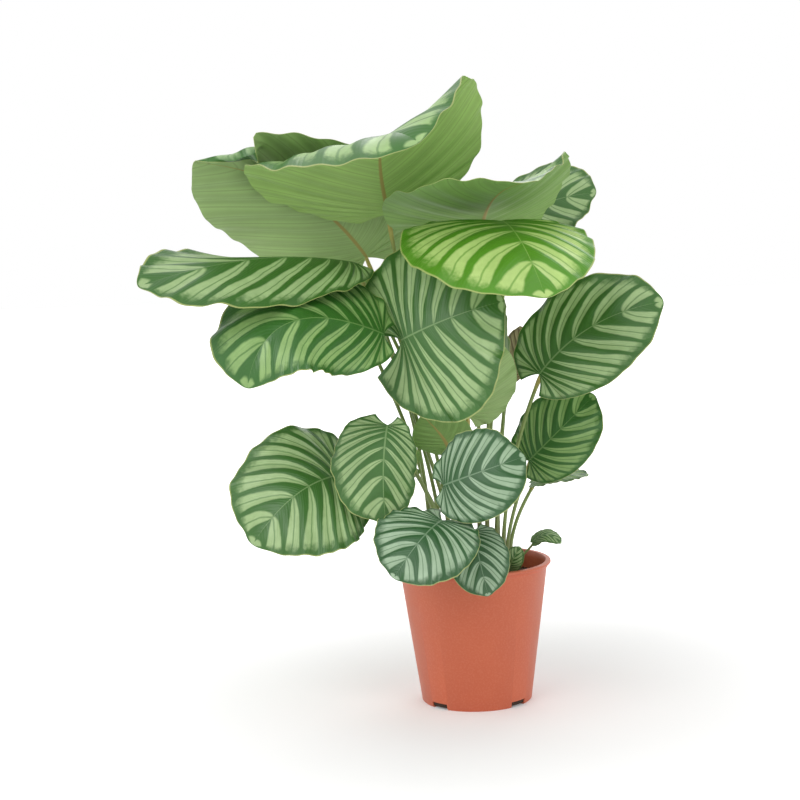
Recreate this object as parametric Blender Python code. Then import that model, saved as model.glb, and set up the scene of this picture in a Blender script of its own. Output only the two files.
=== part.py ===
"""Potted calathea: a plastic nursery pot, its soil, and leaves of a blade and a petiole each.

Metres, +Z up. The origin is the middle of the pot's underside, where the pot stands.
The plant's front is towards -Y and its right-hand side towards +X.
"""

import math

import bmesh
import bpy
import numpy as np

# Pot
POT_HEIGHT = 0.190
BASE_RADIUS = 0.0746
BODY_RADIUS = 0.0994
COLLAR_RADIUS = 0.1005
RIM_RADIUS = 0.105
COLLAR_HEIGHT = 0.010
LIP_HEIGHT = 0.003
WALL = 0.0018
FLOOR = 0.002
POT_SIDES = 48
NOTCH_COUNT = 4
NOTCH_TURN = math.radians(47.5)
NOTCH_WIDTH = math.radians(20)
NOTCH_HEIGHT = 0.008
NOTCH_DEPTH = 0.009
DRAIN_RADIUS = 0.005
DRAIN_RING = 0.045

# Soil
SOIL_TOP = 0.170
SOIL_EDGE_DROP = 0.004
SOIL_FLAT_RADIUS = 0.070
GAP = 0.0003

# Leaves
BLADE_THICKNESS = 0.0006
PETIOLE_RADIUS = 0.0026
PETIOLE_FOOT = 0.0040
PETIOLE_SIDES = 6
PETIOLE_RINGS = 9
LARGE_LEAF = 0.16
LARGE_GRID = (10, 5)
SMALL_GRID = (8, 4)
TIP_POINT = 0.03
ROUNDNESS = 0.92
FIRST_ANGLE = 0.20
VEIN_CROWDING = 3.2
ACROSS_STEPS = 14

# Each leaf has three points on its midrib (base, mid, tip) and a full width. `face` is the way
# its upper surface looks at the base, `face_tip` at the tip. `lobe` is how far the blade reaches
# behind its stalk. Each half is turned up or down by `lift` and bent by `curl`, in degrees, as one
# value or three from base to tip; _r is the half on the right when looking along the midrib with
# the upper surface on top. `right_share` widens the right half and narrows the left by as much.
# `root` is where the stalk leaves the soil, `arrive` its direction at the blade.
LEAVES = {
    "top_left": dict(
        base=(-0.135, 0.105, 0.600), mid=(-0.225, 0.020, 0.695), tip=(-0.345, -0.080, 0.735),
        width=0.245, lobe=0.030, face=(-0.25, 0.70, 0.65), face_tip=(-0.15, 0.72, 0.65),
        lift_r=(0, 0, 5), lift_l=(-5, -12, -15), curl_r=(5, 10, 10), curl_l=(-5, -5, 0),
        root=(-0.030, 0.035), arrive=(-0.35, 0.05, 0.95)),
    "top_centre": dict(
        base=(-0.100, 0.030, 0.660), mid=(-0.100, -0.085, 0.752), tip=(-0.050, -0.190, 0.745),
        width=0.330, lobe=0.015, face=(0.0, 0.70, 0.70), face_tip=(-0.05, -0.35, 0.95),
        right_share=1.08, lift_r=(4, -6, -12), lift_l=(13, 22, 28), curl_r=(0, -5, 0),
        curl_l=(3, 6, 10), root=(-0.015, 0.015), arrive=(-0.10, -0.05, 1.0)),
    "top_right": dict(
        base=(0.025, 0.055, 0.635), mid=(0.045, -0.055, 0.680), tip=(0.095, -0.150, 0.695),
        width=0.260, lobe=0.030, face=(0.0, 0.45, 0.88), face_tip=(0.1, -0.1, 1.0),
        right_share=1.12, lift_r=(0, -2, 0), lift_l=(10, 18, 25), curl_r=(-10, -5, 0),
        curl_l=(5, 15, 25), root=(0.010, 0.030), arrive=(0.05, 0.05, 1.0)),
    "left_high": dict(
        base=(-0.145, -0.005, 0.598), mid=(-0.270, -0.080, 0.608), tip=(-0.412, -0.150, 0.580),
        width=0.205, lobe=0.020, face=(-0.05, -0.15, 0.98), face_tip=(-0.40, -0.60, 0.70),
        lift_r=(-5, -10, 15), lift_l=(-8, -10, -5), curl_r=(-10, -10, 5),
        curl_l=(-25, -20, 0), root=(-0.055, 0.010), arrive=(-0.40, -0.32, 0.85)),
    "left_mid": dict(
        base=(-0.105, -0.115, 0.508), mid=(-0.220, -0.165, 0.530), tip=(-0.275, -0.185, 0.450),
        width=0.215, lobe=0.020, face=(-0.15, -0.70, 0.70), face_tip=(-0.40, -0.80, 0.45),
        right_share=1.22, lift_r=(-10, -14, -5), lift_l=-5, curl_r=(-15, -12, 0), curl_l=(-10, -10, 0),
        root=(-0.038, -0.012), arrive=(-0.05, -0.97, 0.15)),
    "centre": dict(
        base=(-0.085, -0.075, 0.497), mid=(-0.020, -0.095, 0.525), tip=(0.050, -0.105, 0.545),
        width=0.260, lobe=0.055, face=(-0.05, -0.93, 0.35), face_tip=(0.2, -0.9, 0.35),
        lift_r=(-5, -5, 0), lift_l=(-5, -5, 0), curl_r=(-10, -10, -5), curl_l=(-10, -10, -5),
        root=(-0.025, -0.010), arrive=(0.10, -0.20, 1.0)),
    "right_high": dict(
        base=(0.050, -0.008, 0.646), mid=(0.072, -0.120, 0.620), tip=(0.098, -0.210, 0.552),
        width=0.250, lobe=0.020, face=(0.05, -0.40, 0.90), face_tip=(0.1, -0.75, 0.6),
        right_share=1.22, lift_r=5, curl_r=(-8, -15, -10), curl_l=(-10, -15, -10),
        root=(0.020, 0.005), arrive=(0.10, -0.30, 0.95)),
    "right_mid": dict(
        base=(0.095, -0.030, 0.442), mid=(0.165, -0.045, 0.505), tip=(0.258, -0.050, 0.535),
        width=0.152, lobe=0.025, face=(-0.25, -0.87, 0.42), face_tip=(0.0, -0.85, 0.5),
        right_share=1.02, curl_r=(-12, -12, -5), curl_l=(-10, -10, -5),
        root=(0.040, -0.015), arrive=(0.35, -0.40, 0.85)),
    "right_low": dict(
        base=(0.080, 0.040, 0.318), mid=(0.120, 0.030, 0.358), tip=(0.172, 0.030, 0.408),
        width=0.115, lobe=0.020, face=(-0.15, -0.88, 0.45), curl_r=(-10, -10, 0),
        curl_l=(-10, -10, 0), root=(0.045, 0.025), arrive=(0.25, -0.60, 0.80)),
    "right_back": dict(
        base=(0.060, 0.130, 0.625), mid=(0.110, 0.120, 0.665), tip=(0.185, 0.100, 0.680),
        width=0.150, lobe=0.020, face=(-0.1, -0.75, 0.65), curl_r=(-10, -10, 0),
        curl_l=(-10, -10, 0), root=(0.020, 0.045), arrive=(0.10, 0.15, 0.97)),
    "lower_left": dict(
        base=(-0.168, -0.035, 0.318), mid=(-0.230, -0.075, 0.298), tip=(-0.288, -0.092, 0.236),
        width=0.205, lobe=0.035, face=(-0.20, -0.87, 0.45), face_tip=(-0.4, -0.85, 0.35),
        curl_r=(-10, -10, 0), curl_l=(-10, -10, 0),
        root=(-0.056, -0.014), arrive=(-0.50, -0.70, 0.50)),
    "lower_fold": dict(
        base=(-0.105, -0.105, 0.390), mid=(-0.112, -0.115, 0.330), tip=(-0.112, -0.095, 0.260),
        width=0.130, lobe=0.015, face=(0.0, -0.95, 0.3), right_share=1.25,
        lift_r=(-10, -25, -5), lift_l=(-10, -18, -10), curl_r=(-15, -10, 0),
        curl_l=(-25, -25, 0), root=(-0.035, -0.040), arrive=(-0.45, -0.35, 0.80)),
    "low_centre": dict(
        base=(-0.035, -0.130, 0.313), mid=(0.020, -0.155, 0.335), tip=(0.070, -0.150, 0.350),
        width=0.124, lobe=0.018, face=(-0.05, -0.90, 0.42), curl_r=(-15, -15, -5),
        curl_l=(-15, -15, -5), root=(0.005, -0.045), arrive=(-0.20, -0.60, 0.75)),
    "low_left": dict(
        base=(-0.038, -0.142, 0.270), mid=(-0.066, -0.175, 0.250), tip=(-0.100, -0.190, 0.206),
        width=0.142, lobe=0.028, face=(-0.25, -0.80, 0.55), curl_r=(-15, -15, -5),
        curl_l=(-15, -15, -5), root=(-0.020, -0.052), arrive=(-0.15, -0.75, 0.60)),
    "low_small": dict(
        base=(0.002, -0.115, 0.251), mid=(0.008, -0.140, 0.218), tip=(0.018, -0.150, 0.172),
        width=0.082, lobe=0.012, face=(0.1, -0.85, 0.5), curl_r=(-15, -15, -5),
        curl_l=(-15, -15, -5), root=(0.022, -0.050), arrive=(-0.10, -0.70, 0.65)),
    "left_under": dict(
        base=(-0.140, 0.060, 0.505), mid=(-0.180, 0.030, 0.548), tip=(-0.235, 0.010, 0.568),
        width=0.120, lobe=0.020, face=(-0.35, 0.6, 0.7), curl_r=5, curl_l=5,
        root=(-0.050, 0.038), arrive=(-0.35, 0.0, 0.93)),
    "under_centre": dict(
        base=(-0.002, -0.010, 0.387), mid=(0.012, -0.025, 0.440), tip=(0.035, -0.040, 0.495),
        width=0.110, lobe=0.015, face=(0.0, 0.85, 0.5), curl_r=5, curl_l=5,
        root=(-0.002, -0.008), arrive=(0.0, 0.05, 1.0)),
    "under_low": dict(
        base=(-0.028, -0.045, 0.350), mid=(-0.040, -0.058, 0.373), tip=(-0.062, -0.066, 0.398),
        width=0.085, lobe=0.012, face=(0.1, 0.8, 0.6), curl_r=5, curl_l=5,
        root=(-0.010, -0.030), arrive=(-0.15, -0.10, 0.95)),
    "under_fold": dict(
        base=(-0.075, -0.050, 0.330), mid=(-0.115, -0.045, 0.345), tip=(-0.130, -0.045, 0.360),
        width=0.070, lobe=0.012, face=(0.0, 0.85, 0.5), curl_r=5, curl_l=5,
        root=(-0.028, -0.030), arrive=(-0.45, -0.25, 0.85)),
    "back_pale": dict(
        base=(-0.150, 0.165, 0.605), mid=(-0.205, 0.165, 0.635), tip=(-0.275, 0.145, 0.650),
        width=0.110, lobe=0.015, face=(-0.2, 0.6, 0.75), curl_r=5, curl_l=5,
        root=(-0.015, 0.050), arrive=(-0.30, 0.30, 0.90)),
    "edge_on": dict(
        base=(0.055, 0.050, 0.430), mid=(0.050, 0.035, 0.490), tip=(0.048, 0.010, 0.555),
        width=0.070, lobe=0.010, face=(0.95, 0.2, 0.2), curl_r=-8, curl_l=-8,
        root=(0.032, 0.030), arrive=(0.05, 0.0, 1.0)),
    "dried": dict(
        base=(0.058, 0.100, 0.425), mid=(0.068, 0.095, 0.455), tip=(0.075, 0.085, 0.500),
        width=0.040, lobe=0.005, face=(0.2, -0.9, 0.3), curl_r=-15, curl_l=-25,
        root=(0.035, 0.045), arrive=(0.20, -0.40, 0.90)),
    "right_low_back": dict(
        base=(0.085, 0.115, 0.275), mid=(0.120, 0.105, 0.288), tip=(0.165, 0.090, 0.288),
        width=0.050, lobe=0.005, face=(0.1, -0.3, 0.95), curl_r=-10, curl_l=-10,
        root=(0.050, 0.040), arrive=(0.45, 0.60, 0.65)),
    "rim_green": dict(
        base=(0.080, -0.020, 0.215), mid=(0.098, -0.030, 0.228), tip=(0.118, -0.035, 0.216),
        width=0.026, lobe=0.003, face=(0.1, -0.6, 0.8), curl_r=-20, curl_l=-20,
        root=(0.056, -0.008), arrive=(0.50, -0.20, 0.80), stalk=0.6),
    "rim_bud": dict(
        base=(0.047, -0.055, 0.190), mid=(0.053, -0.066, 0.203), tip=(0.062, -0.068, 0.220),
        width=0.028, lobe=0.004, face=(-0.1, -0.9, 0.4), curl_r=-15, curl_l=-15,
        root=(0.043, -0.046), arrive=(0.10, -0.60, 0.75), stalk=0.4),
}


def unit(vector):
    """The vector, or each vector along the last axis, at length 1."""
    vector = np.asarray(vector, float)
    length = np.linalg.norm(vector, axis=-1, keepdims=True)
    return vector / np.maximum(length, 1e-12)


def base_to_tip(values, along):
    """One value, or a smooth curve through the three for base, middle and tip."""
    base, middle, tip = np.broadcast_to(np.asarray(values, float), 3)
    along = np.clip(along, 0, 1)
    return (
        base * (1 - along) * (1 - 2 * along)
        + middle * 4 * along * (1 - along)
        + tip * along * (2 * along - 1)
    )


def midrib(leaf, share):
    """Points and directions on the curve through base, mid and tip, straight behind the base."""
    base, mid, tip = (np.asarray(leaf[key], float) for key in ("base", "mid", "tip"))
    share = np.asarray(share, float)[..., None]
    on = np.clip(share, 0, 1)
    point = base * (1 - on) * (1 - 2 * on) + mid * 4 * on * (1 - on) + tip * on * (2 * on - 1)
    direction = base * (4 * on - 3) + mid * (4 - 8 * on) + tip * (4 * on - 1)
    return point + direction * (share - on), unit(direction)


def midrib_lengths(leaf):
    """Shares of the midrib, and how far along it each lies."""
    shares = np.linspace(0, 1, 61)
    steps = np.linalg.norm(np.diff(midrib(leaf, shares)[0], axis=0), axis=1)
    return shares, np.concatenate([[0], np.cumsum(steps)])


def vein_point(length, half_width, lobe, vein, out):
    """Flat place (across, along) on a side vein: vein 0 at the base to 1 at the tip, out 0 to 1."""
    angle = FIRST_ANGLE + (math.pi - FIRST_ANGLE) * vein
    half_length = (length * (1 - TIP_POINT) + lobe) / 2
    tip_bump = TIP_POINT * length * np.exp(-(((math.pi - angle) / 0.16) ** 2))
    end_x = half_width * np.sin(angle) ** ROUNDNESS
    end_y = half_length - lobe - half_length * np.cos(angle) + tip_bump
    start_y = length * vein**VEIN_CROWDING
    bend_x = 0.50 * end_x
    bend_y = start_y + 0.22 * (end_y - start_y)
    x = 2 * out * (1 - out) * bend_x + out**2 * end_x
    y = (1 - out) ** 2 * start_y + 2 * out * (1 - out) * bend_y + out**2 * end_y
    return x, y


def upper_direction(leaf, along, direction):
    """The way the upper surface looks, square to the midrib."""
    first = unit(leaf["face"])
    last = unit(leaf.get("face_tip", leaf["face"]))
    share = np.clip(along, 0, 1)[..., None]
    facing = first * (1 - share) + last * share
    return unit(facing - (facing * direction).sum(-1, keepdims=True) * direction)


def blade_grid(leaf, rows, columns):
    """Middle surface of a blade: rows follow the side veins, columns run base to tip."""
    shares, lengths = midrib_lengths(leaf)
    length = lengths[-1]
    vein = np.linspace(0, 1, rows)[:, None]
    out = np.linspace(-1, 1, 2 * columns + 1)[None, :]
    vein, out = np.broadcast_arrays(vein, out)
    right = out > 0
    share = leaf.get("right_share", 1.0)
    half_width = leaf["width"] / 2 * np.where(right, share, 2 - share)
    x, y = vein_point(length, half_width, leaf["lobe"], vein, np.abs(out))
    start_speed = lengths[1] / shares[1]
    point, direction = midrib(leaf, np.where(y >= 0, np.interp(y, lengths, shares), y / start_speed))
    along = y / length
    up = upper_direction(leaf, along, direction)
    across = unit(np.cross(direction, up))

    lift = np.where(
        right,
        base_to_tip(leaf.get("lift_r", 0), along),
        base_to_tip(leaf.get("lift_l", 0), along),
    )
    curl = np.where(
        right,
        base_to_tip(leaf.get("curl_r", 0), along),
        base_to_tip(leaf.get("curl_l", 0), along),
    )
    sideways = np.zeros_like(x)
    upward = np.zeros_like(x)
    for step in range(ACROSS_STEPS):
        part = (step + 0.5) / ACROSS_STEPS
        turn = lift + curl * part * x / half_width
        sideways += np.cos(np.radians(turn)) * x / ACROSS_STEPS
        upward += np.sin(np.radians(turn)) * x / ACROSS_STEPS
    sign = np.where(right, 1, -1)
    return point + across * (sign * sideways)[..., None] + up * upward[..., None]


def blade_solid(grid, thickness):
    """Vertices and faces of a thin closed sheet about the grid, whose last row is one point."""
    rows, columns, _ = grid.shape
    normal = np.cross(np.gradient(grid, axis=0), np.gradient(grid, axis=1))
    normal[-1] = normal[-2].mean(axis=0)
    normal = unit(normal)
    points = []
    index = np.zeros((2, rows, columns), int)
    for layer, offset in enumerate((thickness / 2, -thickness / 2)):
        sheet = grid + normal * offset
        for row in range(rows - 1):
            for column in range(columns):
                index[layer, row, column] = len(points)
                points.append(sheet[row, column])
        index[layer, rows - 1, :] = len(points)
        points.append(sheet[rows - 1].mean(axis=0))
    faces = []

    def add(*corners):
        ring = list(dict.fromkeys(corners))
        if len(ring) == 4:
            faces.extend([(ring[0], ring[1], ring[2]), (ring[0], ring[2], ring[3])])
        elif len(ring) == 3:
            faces.append(tuple(ring))

    top, under = index
    last = columns - 1
    for row in range(rows - 1):
        for column in range(last):
            add(top[row, column], top[row + 1, column], top[row + 1, column + 1], top[row, column + 1])
            add(
                under[row, column], under[row, column + 1],
                under[row + 1, column + 1], under[row + 1, column],
            )
        add(top[row, 0], under[row, 0], under[row + 1, 0], top[row + 1, 0])
        add(top[row, last], top[row + 1, last], under[row + 1, last], under[row, last])
    for column in range(last):
        add(top[0, column], top[0, column + 1], under[0, column + 1], under[0, column])
    return np.array(points), faces


def petiole_path(leaf):
    """Middle line and radii of a stalk, from the soil to just under its blade."""
    base, direction = midrib(leaf, 0.0)
    up = upper_direction(leaf, np.array(0.0), direction)
    arrive = unit(leaf["arrive"])
    droop = min(0, *(base_to_tip(leaf.get(half, 0), 0.0) for half in ("lift_r", "lift_l")))
    sideways = math.sqrt(max(0, 1 - float(arrive @ up) ** 2))
    radius = PETIOLE_RADIUS * leaf.get("stalk", 1.0)
    clear = BLADE_THICKNESS / 2 + GAP + radius * (sideways + math.tan(math.radians(-droop)))
    end = base + direction * radius - up * clear
    foot = np.array([*leaf["root"], SOIL_TOP + GAP])
    reach = np.linalg.norm(end - foot)
    controls = (foot, foot + np.array([0, 0, 0.40 * reach]), end - arrive * 0.30 * reach, end)
    share = np.linspace(0, 1, PETIOLE_RINGS)[:, None]
    path = (
        (1 - share) ** 3 * controls[0]
        + 3 * share * (1 - share) ** 2 * controls[1]
        + 3 * share**2 * (1 - share) * controls[2]
        + share**3 * controls[3]
    )
    swell = PETIOLE_FOOT * min(1.0, leaf.get("stalk", 1.0))
    radii = radius + (swell - radius) * np.clip(1 - share[:, 0] / 0.25, 0, 1)
    return path, radii


def tube_solid(path, radii, arrive, sides):
    """Vertices and faces of a closed round tube along the path, with flat ends."""
    directions = unit(np.gradient(path, axis=0))
    directions[0] = (0, 0, 1)
    directions[-1] = unit(arrive)
    reference = unit(np.cross(directions[0], (0.0, 1.0, 0.0)))
    points = []
    for centre, direction, radius in zip(path, directions, radii):
        reference = unit(reference - (reference @ direction) * direction)
        other = np.cross(direction, reference)
        for side in range(sides):
            angle = 2 * math.pi * side / sides
            points.append(centre + radius * (math.cos(angle) * reference + math.sin(angle) * other))
    faces = [tuple(range(sides))[::-1]]
    for ring in range(len(path) - 1):
        for side in range(sides):
            after = (side + 1) % sides
            low, high = ring * sides, (ring + 1) * sides
            faces.append((low + side, low + after, high + after, high + side))
    top = (len(path) - 1) * sides
    faces.append(tuple(range(top, top + sides)))
    return np.array(points), faces


def turned_solid(profile, sides):
    """Vertices and faces of a profile (radius, height) turned about Z, from axis to axis."""
    points = []
    rings = []
    for radius, height in profile:
        if radius == 0:
            rings.append([len(points)] * sides)
            points.append((0, 0, height))
            continue
        rings.append(list(range(len(points), len(points) + sides)))
        for side in range(sides):
            angle = 2 * math.pi * side / sides
            points.append((radius * math.cos(angle), radius * math.sin(angle), height))
    faces = []
    for low, high in zip(rings, rings[1:]):
        for side in range(sides):
            after = (side + 1) % sides
            corners = dict.fromkeys((low[side], low[after], high[after], high[side]))
            faces.append(tuple(corners))
    return np.array(points, float), faces


def wall_radius(height):
    """Outer radius of the tapered body."""
    share = height / (POT_HEIGHT - COLLAR_HEIGHT)
    return BASE_RADIUS + (BODY_RADIUS - BASE_RADIUS) * share


def pot_profile():
    """Outline of the pot from the middle of its underside, out, up and back down inside."""
    collar_base = POT_HEIGHT - COLLAR_HEIGHT
    lip_base = POT_HEIGHT - LIP_HEIGHT
    inner_top = BODY_RADIUS - WALL
    return [
        (0, 0),
        (BASE_RADIUS - 0.0015, 0),
        (BASE_RADIUS, 0.0015),
        (BODY_RADIUS, collar_base),
        (COLLAR_RADIUS, collar_base + 0.0012),
        (COLLAR_RADIUS, lip_base),
        (RIM_RADIUS - 0.0008, lip_base - 0.001),
        (RIM_RADIUS, lip_base),
        (RIM_RADIUS - 0.0006, POT_HEIGHT - 0.0006),
        (RIM_RADIUS - 0.0016, POT_HEIGHT),
        (inner_top + 0.0008, POT_HEIGHT),
        (inner_top, POT_HEIGHT - 0.001),
        (inner_top, collar_base),
        (wall_radius(FLOOR) - WALL, FLOOR),
        (0, FLOOR),
    ]


def soil_profile():
    """Outline of the soil plug, which keeps a small gap to the pot all round."""
    edge_height = SOIL_TOP - SOIL_EDGE_DROP
    low = FLOOR + GAP
    return [
        (0, low),
        (wall_radius(low) - WALL - GAP, low),
        (wall_radius(edge_height) - WALL - GAP, edge_height),
        (SOIL_FLAT_RADIUS, SOIL_TOP),
        (0, SOIL_TOP),
    ]


def material(name, colour, roughness):
    """A plain Principled material."""
    made = bpy.data.materials.new(name)
    made.use_nodes = True
    shader = made.node_tree.nodes["Principled BSDF"]
    shader.inputs["Base Color"].default_value = (*colour, 1)
    shader.inputs["Roughness"].default_value = roughness
    shader.inputs["Metallic"].default_value = 0
    return made


def add_object(name, points, faces, surface):
    """A mesh object from points and faces, with its normals facing out and round parts smooth."""
    mesh = bpy.data.meshes.new(name)
    mesh.from_pydata([tuple(map(float, point)) for point in points], [], faces)
    shape = bmesh.new()
    shape.from_mesh(mesh)
    bmesh.ops.recalc_face_normals(shape, faces=shape.faces)
    shape.to_mesh(mesh)
    shape.free()
    mesh.shade_smooth()
    mesh.set_sharp_from_angle(angle=math.radians(35))
    mesh.materials.append(surface)
    made = bpy.data.objects.new(name, mesh)
    bpy.context.scene.collection.objects.link(made)
    return made


def cut(target, cutter):
    """Takes the cutter's shape out of the target."""
    cutter.hide_render = True
    cutter.display_type = "WIRE"
    modifier = target.modifiers.new(cutter.name, "BOOLEAN")
    modifier.operation = "DIFFERENCE"
    modifier.solver = "EXACT"
    modifier.object = cutter


def wedge(middle, width, inner, outer, low, high):
    """Vertices and faces of a block between two radii and two heights, about one angle."""
    points = []
    for height in (low, high):
        for radius, turn in ((inner, -1), (outer, -1), (outer, 1), (inner, 1)):
            angle = middle + turn * width / 2
            points.append((radius * math.cos(angle), radius * math.sin(angle), height))
    faces = [(3, 2, 1, 0), (4, 5, 6, 7)]
    faces += [(side, (side + 1) % 4, (side + 1) % 4 + 4, side + 4) for side in range(4)]
    return np.array(points), faces


def make_pot(surface):
    """The pot, with drain slots at its base edge and round holes through its floor."""
    pot = add_object("pot", *turned_solid(pot_profile(), POT_SIDES), surface)
    for number in range(NOTCH_COUNT):
        middle = NOTCH_TURN + number * 2 * math.pi / NOTCH_COUNT
        slot = wedge(
            middle, NOTCH_WIDTH, BASE_RADIUS - NOTCH_DEPTH, BASE_RADIUS + 0.02, -0.01, NOTCH_HEIGHT
        )
        cut(pot, add_object(f"slot_cutter_{number}", *slot, surface))
        turn = middle + math.pi / NOTCH_COUNT
        profile = [(0, -0.01), (DRAIN_RADIUS, -0.01), (DRAIN_RADIUS, 0.01), (0, 0.01)]
        hole = add_object(f"hole_cutter_{number}", *turned_solid(profile, 16), surface)
        hole.location = (DRAIN_RING * math.cos(turn), DRAIN_RING * math.sin(turn), 0)
        cut(pot, hole)


def make_leaf(name, leaf, blade_surface, petiole_surface):
    """The blade and the petiole of one leaf."""
    rows, columns = LARGE_GRID if leaf["width"] >= LARGE_LEAF else SMALL_GRID
    grid = blade_grid(leaf, rows, columns)
    add_object(f"{name}_blade", *blade_solid(grid, BLADE_THICKNESS), blade_surface)
    path, radii = petiole_path(leaf)
    add_object(f"{name}_petiole", *tube_solid(path, radii, leaf["arrive"], PETIOLE_SIDES), petiole_surface)


def main():
    for old in list(bpy.data.objects):
        bpy.data.objects.remove(old)
    make_pot(material("terracotta_plastic", (0.72, 0.19, 0.09), 0.45))
    soil_surface = material("potting_soil", (0.045, 0.028, 0.018), 0.95)
    add_object("soil", *turned_solid(soil_profile(), POT_SIDES), soil_surface)
    blade_surface = material("leaf_blade", (0.12, 0.30, 0.09), 0.40)
    petiole_surface = material("leaf_petiole", (0.30, 0.38, 0.12), 0.45)
    for name, leaf in LEAVES.items():
        make_leaf(name, leaf, blade_surface, petiole_surface)


main()
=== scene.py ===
"""Looks of the potted calathea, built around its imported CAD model.

The leaf table and the shape functions repeat those of the CAD source, because this script
reads only the frame. Each blade is then fitted, within 3%, to its CAD node's own box.
"""

import math

import bmesh
import bpy
import numpy as np
from mathutils import Matrix, Vector


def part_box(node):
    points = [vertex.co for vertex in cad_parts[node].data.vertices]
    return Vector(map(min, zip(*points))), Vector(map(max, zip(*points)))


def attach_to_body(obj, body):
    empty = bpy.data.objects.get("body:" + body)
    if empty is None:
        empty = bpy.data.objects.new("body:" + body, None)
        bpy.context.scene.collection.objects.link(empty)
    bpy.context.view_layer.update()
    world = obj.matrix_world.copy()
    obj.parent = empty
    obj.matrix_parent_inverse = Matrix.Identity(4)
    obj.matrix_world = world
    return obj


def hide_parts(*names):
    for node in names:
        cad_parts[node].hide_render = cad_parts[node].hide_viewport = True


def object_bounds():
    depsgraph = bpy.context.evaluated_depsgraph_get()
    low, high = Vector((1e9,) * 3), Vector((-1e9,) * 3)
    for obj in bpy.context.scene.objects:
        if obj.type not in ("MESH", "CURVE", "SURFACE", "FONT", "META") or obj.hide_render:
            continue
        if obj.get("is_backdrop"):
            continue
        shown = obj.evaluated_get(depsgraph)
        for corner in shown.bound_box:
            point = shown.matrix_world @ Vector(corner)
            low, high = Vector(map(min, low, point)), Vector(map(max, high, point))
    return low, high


# Pot
POT_HEIGHT = 0.190
BASE_RADIUS = 0.0746
BODY_RADIUS = 0.0994
COLLAR_RADIUS = 0.1005
RIM_RADIUS = 0.105
COLLAR_HEIGHT = 0.010
LIP_HEIGHT = 0.003
WALL = 0.0018
FLOOR = 0.002
NOTCH_COUNT = 4
NOTCH_TURN = math.radians(47.5)
NOTCH_WIDTH = math.radians(20)
NOTCH_HEIGHT = 0.008
NOTCH_DEPTH = 0.009
DRAIN_RADIUS = 0.005
DRAIN_RING = 0.045

# Soil
SOIL_TOP = 0.170
SOIL_EDGE_DROP = 0.004
SOIL_FLAT_RADIUS = 0.070
GAP = 0.0003

# Leaves
BLADE_THICKNESS = 0.0006
PETIOLE_RADIUS = 0.0026
PETIOLE_FOOT = 0.0040
TIP_POINT = 0.03
ROUNDNESS = 0.92
FIRST_ANGLE = 0.20
VEIN_CROWDING = 3.2
ACROSS_STEPS = 14

# Fine meshes
BLADE_ROWS = 97
BLADE_COLUMNS = 15
RIB_COLUMNS = (0.010, 0.022, 0.045)
STALK_RINGS = 44
STALK_SIDES = 14
POT_SIDES = 144
HOLE_SIDES = 24
SOIL_RINGS = 40
SOIL_SIDES = 120
SHARP_ANGLE = math.radians(40)
FIT_LIMIT = 0.03
CUTTER_REACH = 0.02
CUTTER_DEPTH = 0.01

# Relief of the blades, at full height on those of FULL_WIDTH or more
BANDS = 10.5
PLEAT = 0.0015
RIB_HEIGHT = 0.0014
RIB_SPREAD = 0.020
EDGE_WAVE = 0.0075
WAVES = (3, 6, 11)
CALM_EDGES = {"under_low": 0.001}
FULL_WIDTH = 0.20
BLADE_SEED = 100

# Margins rolled towards the underside: half of the blade, first and last vein, degrees
ROLLS = {"top_left": (-1, 0.78, 0.99, 230)}
ROLL_START = 0.86

# Swelling of a stalk under its blade: share of its radius, and shares of its length
SWELL = 0.22
SWELL_PLACE = 0.95
SWELL_SPREAD = 0.035

# Soil top and crumbs
SOIL_LEVEL = 0.0008
SOIL_LUMP = 0.00035
SOIL_SINK = 0.001
SOIL_BUMPS = 14
SOIL_SEED = 7
CRUMBS = 420
CRUMB_SIZES = (0.0008, 0.0024)
CRUMB_EDGE = 0.006
CRUMB_SEED = 11

# Camera
CAMERA_PLACE = (0.0, -2.40, 0.658)
CAMERA_YAW = 0.0382
CAMERA_PITCH = 0.1025
CAMERA_ROLL = 0.0338
LENS = 80.8
SENSOR_WIDTH = 36

# Floor and surround
FLOOR_SIZE = 24.0
GLOW_SPAN = (0.15, 1.3)
GLOW_NEAR = 0.14
SURROUND_LIGHT = 0.60

# Materials of a blade's two faces, and its pale bands
UPPER, UNDER = 0, 1
BAND_WIDTH = 0.84
BAND_GROWTH = 0.50
BAND_WANDER = 0.30
LINE_PALENESS = 0.38
MARGIN_COLOUR = (0.55, 0.60, 0.22)
MIDRIB_COLOUR = (0.44, 0.33, 0.10)

# Dark bands, light bands and underside of each leaf tone; two tones are darker copies, painted shade
TONES = {
    "plain": ((0.048, 0.165, 0.022), (0.39, 0.55, 0.25), (0.30, 0.46, 0.19)),
    "bright": ((0.105, 0.330, 0.016), (0.54, 0.74, 0.24), (0.40, 0.58, 0.19)),
    # plain darkened all over: painted shade for leaves that sit in shade
    "plain_shaded": ((0.036, 0.155, 0.018), (0.29, 0.47, 0.16), (0.24, 0.38, 0.14)),
    "silver": ((0.026, 0.115, 0.028), (0.37, 0.52, 0.34), (0.29, 0.41, 0.26)),
    "back_light": ((0.050, 0.190, 0.022), (0.40, 0.60, 0.24), (0.38, 0.58, 0.17)),
    "back_grey": ((0.045, 0.170, 0.022), (0.38, 0.56, 0.27), (0.37, 0.53, 0.21)),
    # back_light with its underside darkened: painted shade on undersides that sit in shade
    "back_shaded": ((0.050, 0.190, 0.022), (0.40, 0.60, 0.24), (0.25, 0.42, 0.12)),
    "dry": ((0.20, 0.15, 0.06), (0.42, 0.34, 0.18), (0.38, 0.31, 0.17)),
}
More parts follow.
